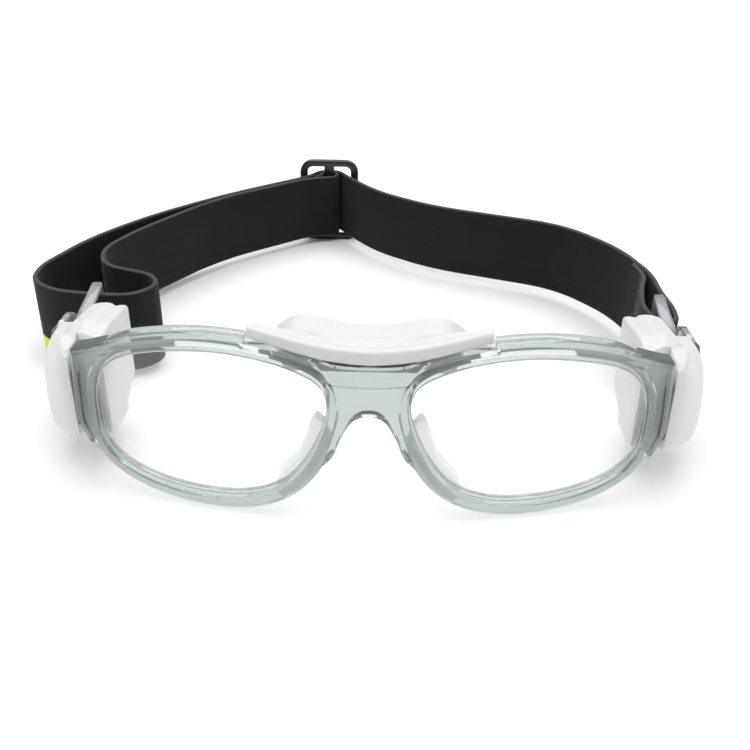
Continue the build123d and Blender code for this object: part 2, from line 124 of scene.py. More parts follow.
def bump(tree, shader, height, strength, distance):
    made = tree.nodes.new("ShaderNodeBump")
    made.inputs["Strength"].default_value = strength
    made.inputs["Distance"].default_value = distance
    tree.links.new(height, made.inputs["Height"])
    tree.links.new(made.outputs["Normal"], shader.inputs["Normal"])


def clear_plastic(name, colour, clear, absorb, density, shade, roughness=0.03):
    """Plastic that is see-through by the share clear. Lamps reach what is behind it, dimmed by shade."""
    material, tree, shader = node_material(name)
    set_values(shader, Base_Color=(*colour, 1), Roughness=roughness, IOR=1.5, Transmission_Weight=clear)
    output = tree.nodes["Material Output"]
    through = node(tree, "ShaderNodeBsdfTransparent", (*shade, 1))
    lamp = tree.nodes.new("ShaderNodeLightPath").outputs["Is Shadow Ray"]
    mix = node(tree, "ShaderNodeMixShader", lamp, shader.outputs[0], through.outputs[0])
    tree.links.new(mix.outputs[0], output.inputs["Surface"])
    volume = tree.nodes.new("ShaderNodeVolumeAbsorption")
    volume.inputs["Color"].default_value = (*absorb, 1)
    volume.inputs["Density"].default_value = density
    tree.links.new(volume.outputs[0], output.inputs["Volume"])
    return material


def soft_silicone(name, colour):
    material, tree, shader = node_material(name)
    set_values(
        shader, Base_Color=(*colour, 1), Roughness=0.38, Subsurface_Weight=0.35, Subsurface_Scale=0.003,
        Subsurface_Radius=(1, 1, 1),
    )
    place = tree.nodes.new("ShaderNodeTexCoord").outputs["Object"]
    grain = node(tree, "ShaderNodeTexNoise", place, None, 900.0, 2.0)
    bump(tree, shader, grain.outputs["Fac"], 0.12, 0.0002)
    return material


COURSE_PITCH, RIB_PITCH = 0.9, 1.3     # millimetres, as the strap's own u and v


def elastic_webbing():
    """Black knitted elastic: ribs along the strap with fine courses across it, its colour darker in the
    weave's hollows as painted shade.
    """
    material, tree, shader = node_material("elastic")
    set_values(shader, Roughness=0.85, Sheen_Weight=0.08, Sheen_Roughness=0.4)
    shader.inputs["Specular IOR Level"].default_value = 0.2
    uv = tree.nodes.new("ShaderNodeUVMap").outputs["UV"]
    apart = node(tree, "ShaderNodeSeparateXYZ", uv)
    course_turn, rib_turn = 2 * math.pi / COURSE_PITCH, 2 * math.pi / RIB_PITCH
    along = node(tree, "ShaderNodeMath", apart.outputs[0], course_turn, operation="MULTIPLY")
    across = node(tree, "ShaderNodeMath", apart.outputs[1], rib_turn, operation="MULTIPLY")
    courses = node(tree, "ShaderNodeMath", along.outputs[0], operation="SINE")
    ribs = node(tree, "ShaderNodeMath", across.outputs[0], operation="SINE")
    weave = node(tree, "ShaderNodeMath", courses.outputs[0], ribs.outputs[0], operation="MULTIPLY")
    height = node(tree, "ShaderNodeMath", weave.outputs[0], ribs.outputs[0], operation="ADD")
    bump(tree, shader, height.outputs[0], 0.22, 0.0001)
    # Painted shade: the colour follows the weave's height, darker in its hollows and lighter on its
    # raised ribs.
    painted_weave_shade = node(tree, "ShaderNodeMapRange", height.outputs[0], -2.0, 2.0, 0.75, 1.25)
    dark, light = (0.0070, 0.0074, 0.0092, 1), (0.0120, 0.0126, 0.0152, 1)
    unused = [None] * 5
    colour = node(tree, "ShaderNodeMix", painted_weave_shade.outputs[0], *unused, dark, light, data_type="RGBA")
    tree.links.new(colour.outputs["Result"], shader.inputs["Base Color"])
    return material


def plain(name, colour, roughness, metallic=0.0, grain=0.0):
    material, tree, shader = node_material(name)
    set_values(shader, Base_Color=(*colour, 1), Roughness=roughness, Metallic=metallic)
    if grain:
        place = tree.nodes.new("ShaderNodeTexCoord").outputs["Object"]
        noise = node(tree, "ShaderNodeTexNoise", place, None, 1500.0, 2.0)
        bump(tree, shader, noise.outputs["Fac"], grain, 0.0001)
    return material


TINTED = clear_plastic(
    "tinted_plastic", (0.755, 0.79, 0.78), 0.88, (0.42, 0.49, 0.475), 125, (0.9, 0.91, 0.905),
)
LENS_CLEAR = clear_plastic("lens_plastic", (1, 1, 1), 1.0, (0.9, 0.95, 0.95), 5, (0.96, 0.97, 0.97))
BUCKLE_CLEAR = clear_plastic(
    "buckle_plastic", (0.58, 0.585, 0.61), 0.66, (0.45, 0.45, 0.5), 60, (0.7, 0.7, 0.74), 0.1,
)
SILICONE = soft_silicone("silicone_soft", (0.64, 0.645, 0.63))
NOSE_SILICONE = clear_plastic(
    "silicone_thin", (0.95, 0.955, 0.945), 0.6, (0.85, 0.86, 0.84), 40, (0.92, 0.92, 0.92), 0.35,
)
WEBBING = elastic_webbing()
# A lighter black for the strap's edges: painted light where the edges face the lamps.
PAINTED_EDGE_LIGHT = plain("painted_edge_light", (0.04, 0.041, 0.044), 0.75, grain=0.3)
BLACK_PLASTIC = plain("black_plastic", (0.012, 0.0125, 0.014), 0.28, grain=0.15)
STEEL = plain("steel", (0.6, 0.61, 0.62), 0.28, metallic=1.0, grain=0.05)
NYLON = plain("nylon", (0.8, 0.8, 0.78), 0.5, grain=0.1)
YELLOW = plain("yellow_weave", (0.70, 0.74, 0.08), 0.7, grain=0.5)
THREAD = plain("black_thread", (0.035, 0.035, 0.038), 0.75, grain=0.4)


# ---- Curves and outlines, in millimetres ----
def smooth_curve(points, count, closed=False):
    """Points evenly spaced on the cubic spline through the given ones."""
    p = np.array(points, float)
    if closed:
        p = np.vstack([p, p[:1]])
    n = len(p) - 1
    h = np.linalg.norm(np.diff(p, axis=0), axis=1)
    t = np.concatenate([[0], np.cumsum(h)])
    slope = np.diff(p, axis=0) / h[:, None]
    a = np.zeros((n + 1, n + 1))
    b = np.zeros((n + 1, p.shape[1]))
    for i in range(1, n):
        a[i, i - 1], a[i, i], a[i, i + 1] = h[i - 1], 2 * (h[i - 1] + h[i]), h[i]
        b[i] = 6 * (slope[i] - slope[i - 1])
    if closed:
        a[0, 0], a[0, n] = 1, -1
        a[n, 0], a[n, 1], a[n, n], a[n, n - 1] = 2 * h[0], h[0], 2 * h[-1], h[-1]
        b[n] = 6 * (slope[0] - slope[-1])
    else:
        a[0, 0] = a[n, n] = 1
    m = np.linalg.solve(a, b)
    s = np.linspace(0, t[-1], 40 * n + 1)
    k = np.clip(np.searchsorted(t, s, side="right") - 1, 0, n - 1)
    u, w, hk = (s - t[k])[:, None], (t[k + 1] - s)[:, None], h[k][:, None]
    dense = (
        m[k] * w**3 / (6 * hk) + m[k + 1] * u**3 / (6 * hk)
        + (p[k] / hk - m[k] * hk / 6) * w + (p[k + 1] / hk - m[k + 1] * hk / 6) * u
    )
    return evenly(dense, count, closed)


def evenly(dense, count, closed=False):
    """The same line in equal steps."""
    length = np.concatenate([[0], np.cumsum(np.linalg.norm(np.diff(dense, axis=0), axis=1))])
    at = np.linspace(0, length[-1], count + 1)[:-1] if closed else np.linspace(0, length[-1], count)
    return np.stack([np.interp(at, length, dense[:, i]) for i in range(dense.shape[1])], axis=1)


def outward(loop):
    """Unit normals of a closed plane loop that runs clockwise."""
    along = np.roll(loop, -1, axis=0) - np.roll(loop, 1, axis=0)
    along /= np.linalg.norm(along, axis=1)[:, None]
    return np.stack([-along[:, 1], along[:, 0]], axis=1)


def inset(points, amount):
    """A polygon with its straight sides moved inwards by amount."""
    p = np.array(points, float)
    area = np.sum(p[:, 0] * np.roll(p[:, 1], -1) - np.roll(p[:, 0], -1) * p[:, 1])
    before = p - np.roll(p, 1, axis=0)
    after = np.roll(p, -1, axis=0) - p
    before /= np.linalg.norm(before, axis=1)[:, None]
    after /= np.linalg.norm(after, axis=1)[:, None]
    side = math.copysign(1, area)
    n1 = side * np.stack([-before[:, 1], before[:, 0]], axis=1)
    n2 = side * np.stack([-after[:, 1], after[:, 0]], axis=1)
    middle = n1 + n2
    return p + amount * 2 * middle / np.sum(middle * middle, axis=1)[:, None]


def rounded(points, radius, steps=4):
    """A polygon with each corner turned into a short arc."""
    p = np.array(points, float)
    out = []
    for i in range(len(p)):
        a, b, c = p[i - 1], p[i], p[(i + 1) % len(p)]
        back, on = a - b, c - b
        reach_back, reach_on = np.linalg.norm(back), np.linalg.norm(on)
        cut = min(radius, 0.45 * reach_back, 0.45 * reach_on)
        start, end = b + back / reach_back * cut, b + on / reach_on * cut
        for k in range(steps + 1):
            u = k / steps
            out.append((1 - u) ** 2 * start + 2 * u * (1 - u) * b + u * u * end)
    return np.array(out)


def both_sides(half):
    """A symmetric line from -x to +x, given from its middle outwards."""
    return [(-x, z) for x, z in reversed(half) if x] + half


def bent(x, z, depth):
    """The place at x, z and so far behind the curved front."""
    x = np.asarray(x, float)
    y = FACE_RADIUS - np.sqrt((FACE_RADIUS - depth) ** 2 - x * x)
    return np.stack(np.broadcast_arrays(x, y, np.asarray(z, float)), axis=-1)


# ---- Meshes ----
def link_object(name, mesh):
    piece = bpy.data.objects.new(name, mesh)
    bpy.context.scene.collection.objects.link(piece)
    return piece


def make_mesh(name, points, faces):
    """A closed mesh from points in millimetres, its faces all outwards."""
    mesh = bpy.data.meshes.new(name)
    points = np.asarray(points, float) * MM
    mesh.from_pydata([tuple(p) for p in points], [], faces)
    edit = bmesh.new()
    edit.from_mesh(mesh)
    bmesh.ops.recalc_face_normals(edit, faces=edit.faces)
    edit.to_mesh(mesh)
    edit.free()
    return link_object(name, mesh)


def loft(name, rings, closed=False):
    """A skin over rings of points, all with the same number of points."""
    rings = np.asarray(rings, float)
    count, around = rings.shape[:2]
    faces = []
    for i in range(count if closed else count - 1):
        for j in range(around):
            a, b = i * around, (i + 1) % count * around
            k = (j + 1) % around
            faces.append((a + j, b + j, b + k, a + k))
    if not closed:
        for ring, first in ((rings[0], 0), (rings[-1], (count - 1) * around)):
            flat = ring - ring.mean(axis=0)
            u, w = np.linalg.svd(flat)[2][:2]
            plane = [Vector((float(v @ u), float(v @ w), 0)) for v in flat]
            for tri in tessellate_polygon([plane]):
                faces.append(tuple(first + i for i in tri))
    return make_mesh(name, rings.reshape(-1, 3), faces)


def apply_modifiers(piece):
    seen = piece.evaluated_get(bpy.context.evaluated_depsgraph_get())
    mesh = bpy.data.meshes.new_from_object(seen)
    piece.modifiers.clear()
    piece.data = mesh
    return piece


def combine(base, other, operation="UNION"):
    """Join the other piece to the base, or cut it away. The other piece is used up."""
    made = base.modifiers.new("cut", "BOOLEAN")
    made.object, made.operation, made.solver = other, operation, "MANIFOLD"
    apply_modifiers(base)
    bpy.data.objects.remove(other)
    return base


def soften(piece, voxel, rounds):
    """A moulded soft shape: even small faces with every edge rounded over."""
    remesh = piece.modifiers.new("remesh", "REMESH")
    remesh.mode, remesh.voxel_size = "VOXEL", voxel * MM
    smooth = piece.modifiers.new("smooth", "SMOOTH")
    smooth.factor, smooth.iterations = 0.5, rounds
    return apply_modifiers(piece)


def mirror_copy(piece, name):
    mesh = piece.data.copy()
    mesh.transform(Matrix.Scale(-1, 4, (1, 0, 0)))
    mesh.flip_normals()
    return link_object(name, mesh)


def finish_piece(piece, material, angle=None):
    """Smooth shading, with edges sharper than angle kept."""
    piece.data.materials.clear()
    piece.data.materials.append(material)
    piece.data.shade_smooth()
    if angle:
        piece.data.set_sharp_from_angle(angle=math.radians(angle))
    return piece


# ---- Front frame ----
def opening_loop():
    points = [(OPENING_X + LENS_WIDTH * u, OPENING_Z + LENS_HEIGHT * v) for u, v in OPENING_SHAPE]
    return smooth_curve(points, 240, closed=True)


def rim_ring():
    """The rim as a closed sweep: a flat face, a wide outer slant, a side and rounded back edges."""
    w = RIM_WIDTH
    section = [
        (-0.5, 0.0), (w - 2.15, 0.0), (w - 1.95, 0.06), (w - 0.12, 1.85), (w, 2.1), (w, RIM_DEPTH - 0.6),
        (w - 0.15, RIM_DEPTH - 0.2), (w - 0.6, RIM_DEPTH), (-0.5, RIM_DEPTH),
    ]
    loop = opening_loop()
    away = outward(loop)
    rings = []
    for (x, z), (nx, nz) in zip(loop, away):
        rings.append([bent(x + nx * g, z + nz * g, d) for g, d in section])
    return loft("rim", rings, closed=True)


def opening_cutter():
    """Cuts the lens opening with its lens groove and eased edges."""
    levels = [
        (1.2, -6.0), (1.2, -0.9), (0.35, 0.0), (0.0, 0.35), (0.0, GROOVE_NEAR),
        (GROOVE_DEPTH, GROOVE_NEAR), (GROOVE_DEPTH, GROOVE_FAR), (0.0, GROOVE_FAR),
        (0.0, RIM_DEPTH - 0.4), (0.4, RIM_DEPTH), (0.4, 14.0),
    ]
    loop = opening_loop()
    away = outward(loop)
    rings = []
    for growth, depth in levels:
        place = loop + away * growth
        rings.append(bent(place[:, 0], place[:, 1], depth))
    return loft("opening", rings)


END_OUTLINE = [
    (54.0, 43.2), (61.9, 41.2), (66.3, 39.4), (70.4, 38.0), (END_HALF_WIDTH, 24.0),
    (END_HALF_WIDTH, 18.6), (69.3, 13.2), (63.0, 8.6), (58.0, 12.0), (58.0, 36.0),
]


def end_slab(name, levels):
    """The end outline drawn in by each level's amount at its depth."""
    rings = []
    for amount, depth in levels:
        loop = rounded(inset(END_OUTLINE, amount), max(0.15, 0.5 - 0.3 * amount), steps=3)
        rings.append(bent(loop[:, 0], loop[:, 1], depth))
    return loft(name, rings)


def end_piece():
    """A block with eased edges and a shallow tapered recess in its face."""
    block = end_slab("end", [
        (1.08, 0.0), (0.95, 0.05), (0.07, 0.93), (0.0, 1.1), (0.0, RIM_DEPTH - 0.5), (0.5, RIM_DEPTH),
    ])
    plate = end_slab("plate", [(1.7, -0.3), (2.0, 0.0), (2.25, 0.55)])
    return combine(block, plate, "DIFFERENCE")


def arm(grow=0.0):
    """The side arm, lofted front to back from a section with a slanted top outer edge."""
    outer = np.array([
        (71.4, 15.5), (73.4, 18.5), (78.8, 24.0), (83.3, 30.0), (85.0, 36.0), (85.0, ARM_END_Y),
    ])
    inner = np.array([
        (67.0, 13.6), (70.0, 18.6), (75.8, 25.2), (80.0, 31.0), (81.8, 36.5), (81.8, ARM_END_Y),
    ])
    rings = []
    for y in np.linspace(ARM_START_Y, ARM_END_Y + grow, 40):
        out_x = np.interp(y, outer[:, 1], outer[:, 0]) + grow
        in_x = np.interp(y, inner[:, 1], inner[:, 0]) - grow
        past = max(0.0, y - (ARM_END_Y - ARM_END_RADIUS) - grow)
        fall = ARM_END_RADIUS - math.sqrt(max(0.0, ARM_END_RADIUS ** 2 - past * past))
        top = np.interp(y, (14, 19, 29, 35.5), (33.0, 33.0, 31.0, 30.5)) + grow - fall
        low = np.interp(y, (14, 19, 27.5), (17.0, 15.5, 11.5)) - grow + fall
        slant = np.interp(y, (15, 21, 36.5, 40), (1.5, 5.0, 5.0, 1.3))
        across = min(slant, 0.75 * (out_x - in_x))
        out_x -= np.interp(y, (15, 22, 35, 39), (0, 0.4, 0.4, 0))
        section = [
            (in_x + 0.3, top), (out_x - across, top), (out_x - 0.05, top - slant),
            (out_x, top - slant - 0.3), (out_x, low + 0.3), (out_x - 0.3, low), (in_x + 0.3, low),
            (in_x, low + 0.3), (in_x, top - 0.3),
        ]
        rings.append([(x, y, z) for x, z in section])
    return loft("arm", rings)


def bridge():
    """The bridge, lofted across: a flat face under a ridge, with eased top and arch edges."""
    top = smooth_curve(both_sides([(0, BRIDGE_TOP_Z), (8, BRIDGE_TOP_Z + 0.5), (16, 44.3)]), 60)
    arch = smooth_curve(both_sides([
        (0, BRIDGE_BOTTOM_Z), (3.0, 28.4), (4.9, 26.0), (6.85, 21.5), (8.5, 17.6), (10.8, 14.6),
        (13.5, 11.2),
    ]), 120)
    rings = []
    for x in np.linspace(-BRIDGE_REACH, BRIDGE_REACH, 75):
        sink = np.interp(abs(x), (8.0, BRIDGE_REACH), (0.0, 1.6))
        high = np.interp(x, top[:, 0], top[:, 1])
        low = np.interp(x, arch[:, 0], arch[:, 1])
        section = [
            (high, 0.9), (high - 0.5, 0.45), (high - 3.6, 0.05), (high - 4.2, 0.05), (high - 4.7, 0.2),
            (high - 5.2, 0.55), (high - 5.7, 0.65), (low + 0.8, 0.65), (low + 0.3, 0.75), (low, 1.15),
            (low, RIM_DEPTH - 0.5), (low + 0.5, RIM_DEPTH), (high - 0.5, RIM_DEPTH),
            (high, RIM_DEPTH - 0.5),
        ]
        rings.append([bent(x, z, d + (sink if d < 2 else 0)) for z, d in section])
    return loft("bridge", rings)


def pivot_hole():
    """Cuts the screw's hole through the arm and the buckle."""
    r = PIVOT_HOLE_RADIUS
    turns = np.linspace(0, 2 * math.pi, 48, endpoint=False)
    circle = [(PIVOT_Y + r * math.cos(t), PIVOT_Z + r * math.sin(t)) for t in turns]
    return loft("pin", [[(x, y, z) for y, z in circle] for x in (70, 95)])


def brow_cutter():
    """Cuts the top of the rims level under the ends of the brow pad."""
    corners = [(-5, 46.2), (20, 46.2), (20, 60), (-5, 60)]
    reach = BROW_HALF_WIDTH + 0.6
    return loft("box", [[(x, y, z) for y, z in corners] for x in (-reach, reach)])


def front_frame():
    half = end_piece()
    combine(half, rim_ring())
    combine(half, arm())
    combine(half, pivot_hole(), "DIFFERENCE")
    other = mirror_copy(half, "other_half")
    whole = bridge()
    combine(whole, half)
    combine(whole, other)
    left_cutter = opening_cutter()
    right_cutter = mirror_copy(left_cutter, "opening_right")
    combine(whole, left_cutter, "DIFFERENCE")
    combine(whole, right_cutter, "DIFFERENCE")
    combine(whole, brow_cutter(), "DIFFERENCE")
    whole.name = "front_frame_moulding"
    finish_piece(whole, TINTED, 28)
    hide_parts("front_frame")
    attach(whole, "frame")


# ---- Soft pads ----
def pad_done(piece, name, node_name, material=SILICONE):
    """Names a pad, gives it its material and puts it in place of its CAD solid."""
    piece.name = name
    finish_piece(piece, material)
    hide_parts(node_name)
    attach(piece, "frame")
    return piece


def brow_pad():
    """A band along the top of the bridge, lower and thinner at its ends, with a cushion behind."""
    base = smooth_curve(both_sides([(0, 42.6), (15, 44.4), (21.4, 45.9), (BROW_HALF_WIDTH, 47.2)]), 60)
    rings = []
    for x, z in base:
        t = (abs(x) / BROW_HALF_WIDTH) ** 2
        near, back, tall = 0.4 + 1.5 * t, 7.6 - 3.2 * t, 3.6 - 0.8 * t
        rings.append([bent(x, z + h * tall, near + d * (back - near)) for h, d in (
            (0.08, 0.0), (0.0, 0.06), (0.0, 1.0), (0.9, 1.0), (1.0, 0.9), (0.93, 0.4), (1.0, 0.2),
            (0.98, 0.06), (0.9, 0.0),
        )])
    band = loft("band", rings)
    top = smooth_curve(both_sides([(0, 45.8), (9, 47.1), (17.5, 47.7), (21.8, 44.6)]), 60)
    outline = np.vstack([top, [(21.0, 41.5), (18.5, 38.2), (-18.5, 38.2), (-21.0, 41.5)]])
    rings = [bent(outline[:, 0], outline[:, 1], depth) for depth in (5.85, 7.0, 14.5)]
    whole = combine(band, loft("cushion", rings))
    soften(whole, 0.42, 6)
    pad_done(whole, "brow_pad_soft", "brow_pad")


def nose_pads():
    """Pads behind the nose sides of the rims, rounded towards the nose."""
    shape = [
        (0.4, 19), (3.4, 9.0), (7.4, 2.8), (12.2, 0.6), (12.8, 2.6), (8.8, 9.4), (5.4, 16.4), (2.6, 22),
    ]
    place = [(OPENING_X + x, OPENING_Z + z) for x, z in shape]
    loop = smooth_curve(place, 90, closed=True)[::-1]
    away = outward(loop)
    rings = []
    for amount, depth in (
        (0.7, 5.78), (0.25, 5.9), (0.0, 6.5), (0.0, 8.6), (0.25, 9.6), (0.7, 10.2), (1.2, 10.33),
    ):
        place = loop - away * amount
        rings.append(bent(place[:, 0], place[:, 1], depth))
    left = loft("nose_pad_soft_left", rings)
    right = mirror_copy(left, "nose_pad_soft_right")
    pad_done(left, "nose_pad_soft_left", "nose_pad_left", NOSE_SILICONE)
    pad_done(right, "nose_pad_soft_right", "nose_pad_right", NOSE_SILICONE)


def temple_block():
    """The thick inner part of the pad, beside the head."""
    rings = []
    for y in np.linspace(TEMPLE_FRONT_Y, TEMPLE_END_Y, 12):
        top = np.interp(y, (TEMPLE_FRONT_Y, 20.0, 27.0, TEMPLE_END_Y), (36.0, 37.2, 38.0, 35.6))
        low = np.interp(y, (TEMPLE_FRONT_Y, 24.0, 34.0, TEMPLE_END_Y), (13.5, 11.0, 9.4, 8.2))
        step = np.interp(y, (30, TEMPLE_END_Y), (0.0, 1.0))
        narrow = np.interp(y, (TEMPLE_FRONT_Y, 19, 25), (4.4, 4.0, 0.0))
        rings.append([(x, y, z) for x, z in (
            (TEMPLE_INNER_X, low + 8 * step), (66.9, low + 6.2 * step), (68.2, low + 4.2 * step),
            (69.4, low), (74.8 - narrow, low), (75.4 - narrow, low + 1), (75.4 - narrow, top - 1.6),
            (74.4 - narrow, top), (72.6 - 0.8 * narrow, top + 0.4), (70.6 - 0.6 * narrow, top + 0.8),
            (68.8 - 0.4 * narrow, top + 0.4), (67.4 - 0.2 * narrow, top), (65.3, top),
            (TEMPLE_INNER_X, top - 0.6),
        )])
    return loft("block", rings)


def temple_skin():
    """The part of the pad that is drawn over the arm."""
    outer = np.array([
        (72.6, 14.1), (74.2, 14.8), (75.8, 16.2), (77.6, 18.4), (81.6, 24.0), (84.6, 29.5), (85.9, 34.5),
        (86.2, SKIN_END_Y),
    ])
    rings = []
    for y in np.linspace(14.1, SKIN_END_Y, 30):
        out_x = np.interp(y, outer[:, 1], outer[:, 0])
        in_x, top_in_x = (64.9, 64.9) if y < 35.2 else (82.4, 81.2)
        top = np.interp(y, (14.4, 16.5, 22.0, SKIN_END_Y), (34.0, 36.8, 37.4, 34.0))
        low = np.interp(y, (14.4, 25.0, SKIN_END_Y), (13.5, 9.2, 9.5))
        lean = np.interp(y, (16, 30), (0.35, 1.0))
        rings.append([(x, y, z) for x, z in (
            (in_x, low), (out_x - 0.9, low), (out_x - 0.1, low + 1.4), (out_x, low + 6),
            (out_x - 0.3 * lean, low + 12.0), (out_x - 1.0 * lean, low + 16.6),
            (out_x - 1.8 * lean, low + 18.8), (out_x - 3.3 * lean, low + 21.3),
            (out_x - 4.9 * lean, low + 23.2), (min(out_x - 6.6 * lean, 79.4), top), (top_in_x, top),
        )])
    return loft("skin", rings)


def temple_notch():
    """The groove that opens towards the back in the block's top edge."""
    turns = np.linspace(0, 2 * math.pi, 12, endpoint=False)
    rings = []
    for y, r in ((38.0, 0.3), (45.0, 2.2)):
        rings.append([(67.9 + r * math.cos(t) * 0.5, y, 36.9 + r * math.sin(t)) for t in turns])
    return loft("notch", rings)


def temple_seat():
    """The room for the end piece in front of the pad."""
    edge = END_HALF_WIDTH + PAD_GAP
    across, up = np.array([60.0, edge, edge, 60.0]), np.array([0.0, 0.0, 50.0, 50.0])
    return loft("seat", [bent(across, up, depth) for depth in (-6.0, END_DEPTH + PAD_GAP)])


def temple_pads():
    """The thick soft pad on each arm."""
    whole = combine(temple_block(), temple_skin())
    combine(whole, temple_notch(), "DIFFERENCE")
    soften(whole, 0.5, 8)
    combine(whole, temple_seat(), "DIFFERENCE")
    combine(whole, arm(PAD_GAP), "DIFFERENCE")
    right = mirror_copy(whole, "pad_right")
    pad_done(whole, "temple_pad_soft_left", "temple_pad_left")
    pad_done(right, "temple_pad_soft_right", "temple_pad_right")


# ---- Buckles and slider ----
def box_path(y0, y1, z0, z1, radius, steps=8):
    """A rounded rectangle in y and z, the same number of points whatever its size."""
    out = []
    low_y, high_y, low_z, high_z = y0 + radius, y1 - radius, z0 + radius, z1 - radius
    centres = [(high_y, high_z), (low_y, high_z), (low_y, low_z), (high_y, low_z)]
    for i, (cy, cz) in enumerate(centres):
        for k in range(steps + 1):
            t = math.radians(90 * i + 90 * k / steps)
            out.append((cy + radius * math.cos(t), cz + radius * math.sin(t)))
    return np.array(out)


def ring_plate(name, outer, hole, x0, x1, ease):
    """A flat ring between two outlines in y and z, x0 to x1 thick, with rounded edges."""
    rings = []
    for o, h in zip(outer, hole):
        across = h - o
        width = np.linalg.norm(across)
        across = across / width
        e = min(ease, 0.45 * width)
        f = e * 0.3
        section = [
            (e, x0), (f, x0 + f), (0, x0 + e), (0, x1 - e), (f, x1 - f), (e, x1), (width - e, x1),
            (width - f, x1 - f), (width, x1 - e), (width, x0 + e), (width - f, x0 + f), (width - e, x0),
        ]
        rings.append([(x, *(o + across * s)) for s, x in section])
    return loft(name, rings, closed=True)


def leaning_loop(x0, x1):
    """The buckle's rectangular loop, leaning outwards and thinner towards its far bar."""
    outer, window = box_path(47.5, 73.1, 0.8, 29.8, 2.5), box_path(53.0, 70.0, 2.5, 28.1, 0.6)
    ring = ring_plate("ring", outer, window, x0, x1, 0.6)
    points = np.array([v.co for v in ring.data.vertices]) / MM
    turn = math.radians(BUCKLE_LEAN)
    past = np.clip((points[:, 1] - 50.0), 0, None)
    points[:, 0] += past * math.sin(turn)
    tip = np.clip((points[:, 1] - 70.0) / 3.1, 0, 1)
    middle = x0 + BUCKLE_THICKNESS / 2 + past * math.sin(turn)
    points[:, 0] = middle + (points[:, 0] - middle) * np.sqrt(1 - 0.75 * tip * tip)
    points[:, 1] -= past * (1 - math.cos(turn))
    for v, p in zip(ring.data.vertices, points):
        v.co = Vector(p) * MM
    return ring


def buckle_lug(x0, x1):
    """The flat lug that turns on the pivot screw."""
    turns = np.linspace(math.radians(90), math.radians(270), 30)
    hull = [(PIVOT_Y + 5.5 * math.cos(t), PIVOT_Z + 5.5 * math.sin(t)) for t in turns]
    outline = np.array(hull + [(48.0, 3.8), (52.0, 3.8), (52.0, 26.8), (48.0, 26.8)])
    centre = outline.mean(axis=0)
    rings = []
    for x, shrink in ((x0, 0.985), (x0 + 0.25, 1.0), (x1 - 0.25, 1.0), (x1, 0.985)):
        rings.append([(x, *(centre + (p - centre) * shrink)) for p in outline])
    return loft("lug", rings)


def buckles():
    x0, x1 = BUCKLE_X, BUCKLE_X + BUCKLE_THICKNESS
    whole = combine(leaning_loop(x0, x1), buckle_lug(x0, x1))
    combine(whole, pivot_hole(), "DIFFERENCE")
    right = mirror_copy(whole, "buckle_right_moulding")
    whole.name = "buckle_left_moulding"
    for piece, side in ((whole, "left"), (right, "right")):
        finish_piece(piece, BUCKLE_CLEAR, 35)
        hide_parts(f"strap_buckle_{side}")
        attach(piece, f"buckle_{side}")


def slider():
    """Three upright bars between two rails, drawn lying along y and then turned to lie along x."""
    near, far = SLIDER_NEAR_Y, SLIDER_FAR_Y
    x0, x1 = SLIDER_X - SLIDER_LENGTH / 2, SLIDER_X + SLIDER_LENGTH / 2
    outer = box_path(x0, x1, 0.0, SLIDER_HEIGHT, 5.0)
    window = box_path(x0 + 3, x1 - 3, 2.4, SLIDER_HEIGHT - 2.4, 2.2)
    ring = ring_plate("slider_ring", outer, window, near, far, 0.7)
    low, high = SLIDER_X - 2.0, SLIDER_X + 2.0
    corners = [(near + 0.05, low), (far - 0.05, low), (far - 0.05, high), (near + 0.05, high)]
    rings = []
    for z, radius in ((1.2, 0.6), (1.5, 1.0), (31.6, 1.0), (32.1, 0.6)):
        rings.append([(y, x, z) for y, x in rounded(corners, radius, 3)])
    whole = combine(ring, loft("bar", rings))
    whole.data.flip_normals()
    for v in whole.data.vertices:
        v.co = (v.co.y, v.co.x, v.co.z)
    whole.name = "slider_moulding"
    finish_piece(whole, BLACK_PLASTIC, 35)
    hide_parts("strap_slider")
    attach(whole, "slider")


# ---- Strap ----
# The strap's middle line in plan, from the left buckle round to its end on the slider's middle bar.
LEFT_STRAND = [
    (81.3, 99.5), (82.8, 91.0), (79.4, 80.5), (76.9, 68.0), (78.6, 58.8), (84.4, 58.6), (85.5, 67.5),
    (84.6, 78.0), (85.1, 92.0), (79.5, 113.0), (64.0, 134.5), (19.0, 151.5), (-2.0, 167.5),
]
SLIDER_WEAVE = [(-14.3, 185.6), (-18.8, 193.7), (-25.9, 193.7), (-30.0, 186.0)]
OUTER_STRAND = [
    (-59.8, 160.3), (-82.0, 135.5), (-97.0, 112.0), (-104.9, 88.0), (-103.8, 77.2), (-95.3, 70.0),
    (-82.0, 67.8), (-71.0, 67.8), (-65.4, 75.4),
]
INNER_STRAND = [
    (-69.0, 83.0), (-86.2, 89.8), (-89.9, 103.0), (-84.0, 119.0), (-67.5, 147.0), (-57.2, 159.5),
    (-30.5, 182.6), (-19.1, 185.9), (-19.1, 191.7), (-25.3, 191.7), (-25.5, 187.4), (-28.0, 185.4),
]


def arc_path(points):
    """The path's straight runs joined by wide arcs, in steps of about 0.6 mm."""
    p = np.array(points, float)
    out = [p[0]]
    for i in range(1, len(p) - 1):
        back, on = p[i - 1] - p[i], p[i + 1] - p[i]
        lb, lo = np.linalg.norm(back), np.linalg.norm(on)
        back, on = back / lb, on / lo
        cut = 0.45 * min(lb, lo)
        half = math.acos(max(-1.0, min(1.0, float(back @ on)))) / 2
        radius = cut * math.tan(half)
        centre = p[i] + (back + on) / np.linalg.norm(back + on) * radius / math.sin(half)
        start, end = p[i] + back * cut - centre, p[i] + on * cut - centre
        a0, a1 = math.atan2(start[1], start[0]), math.atan2(end[1], end[0])
        turn = (a1 - a0 + math.pi) % (2 * math.pi) - math.pi
        for k in range(13):
            a = a0 + turn * k / 12
            out.append(centre + radius * np.array([math.cos(a), math.sin(a)]))
    out.append(p[-1])
    dense = np.array(out)
    length = np.sum(np.linalg.norm(np.diff(dense, axis=0), axis=1))
    return evenly(dense, int(length / 0.6))


